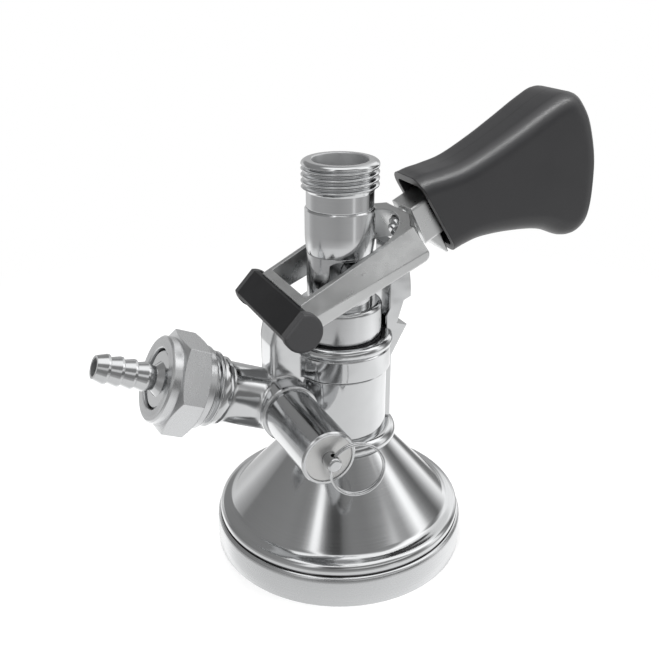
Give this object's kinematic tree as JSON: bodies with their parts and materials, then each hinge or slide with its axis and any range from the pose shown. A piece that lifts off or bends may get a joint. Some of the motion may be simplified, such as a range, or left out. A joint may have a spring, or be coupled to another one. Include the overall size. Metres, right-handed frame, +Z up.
{
  "type": "keg coupler",
  "caption": "Bell-type keg coupler: a hand lever lowers a hollow beer probe through a turned body with a gas hose tail and a relief valve with a pull ring.",
  "frame": {"origin": "centre of the bell's open mouth, on the probe axis", "axes": "+Z up along the probe, +X towards the hand grip, -Y towards the relief valve's pull ring"},
  "size_m": [0.1638, 0.086, 0.1403],
  "materials": {
    "polished_steel": "polished stainless steel",
    "satin_steel": "turned stainless steel",
    "cast_metal": "satin investment-cast stainless steel",
    "black_plastic": "satin moulded",
    "white_plastic": "smooth",
    "black_rubber": "matte"
  },
  "bodies": {
    "base": {"bell": "polished_steel", "body": "polished_steel", "guide_bush": "black_plastic", "bell_lock_ring": "satin_steel", "neck_seal": "black_rubber", "gas_nipple": "polished_steel", "gas_check_valve": "black_rubber", "gas_gasket": "black_rubber", "union_nut": "polished_steel", "hose_tail": "polished_steel", "relief_housing": "polished_steel", "relief_cap": "satin_steel"},
    "probe": {"probe_tube": "polished_steel", "probe_sleeve": "polished_steel", "sleeve_o_ring": "black_rubber", "probe_seal": "black_rubber", "outlet_barrel": "polished_steel", "outlet_spigot": "polished_steel", "ball_cage": "black_plastic"},
    "ball": {"check_ball": "white_plastic"},
    "lever_arm": {"lever": "cast_metal", "pivot_pin": "satin_steel", "drive_pins": "satin_steel", "lever_cap": "black_plastic"},
    "hand_grip": {"grip": "black_plastic", "shank": "satin_steel", "latch_bolt": "satin_steel", "latch_spring": "satin_steel"},
    "relief_rod": {"relief_stem": "satin_steel", "relief_seal": "black_rubber", "relief_spring": "satin_steel"},
    "relief_ring": {"pull_ring": "satin_steel"}
  },
  "joints": [
    {"name": "lever_swing", "type": "hinge", "parent": "base", "child": "lever_arm", "pos_m": [-0.019, 0, 0.0835], "axis": [0, 1, 0], "range_deg": [0, 37]},
    {"name": "probe_slide", "type": "slide", "parent": "base", "child": "probe", "axis": [0, 0, -1], "range_m": [0, 0.01385]},
    {"name": "ball_lift", "type": "slide", "parent": "probe", "child": "ball", "axis": [0, 0, 1], "range_m": [0, 0.002]},
    {"name": "grip_pull", "type": "slide", "parent": "lever_arm", "child": "hand_grip", "axis": [0.891, 0, 0.454], "range_m": [-0.0012, 0.0045], "stiffness_N_per_m": 1200, "springref_m": 0.0003},
    {"name": "relief_pull", "type": "slide", "parent": "base", "child": "relief_rod", "axis": [0, -1, 0], "range_m": [0, 0.0025], "stiffness_N_per_m": 1500, "springref_m": -0.004},
    {"name": "ring_swing", "type": "hinge", "parent": "relief_rod", "child": "relief_ring", "pos_m": [-0.0218, -0.0412, 0.055], "axis": [0.4067, 0, 0.9135], "range_deg": [-163, 7]}
  ],
  "couplings": [
    {"joint": "probe_slide", "follows": "lever_swing", "m_per_rad": 0.021449}
  ]
}
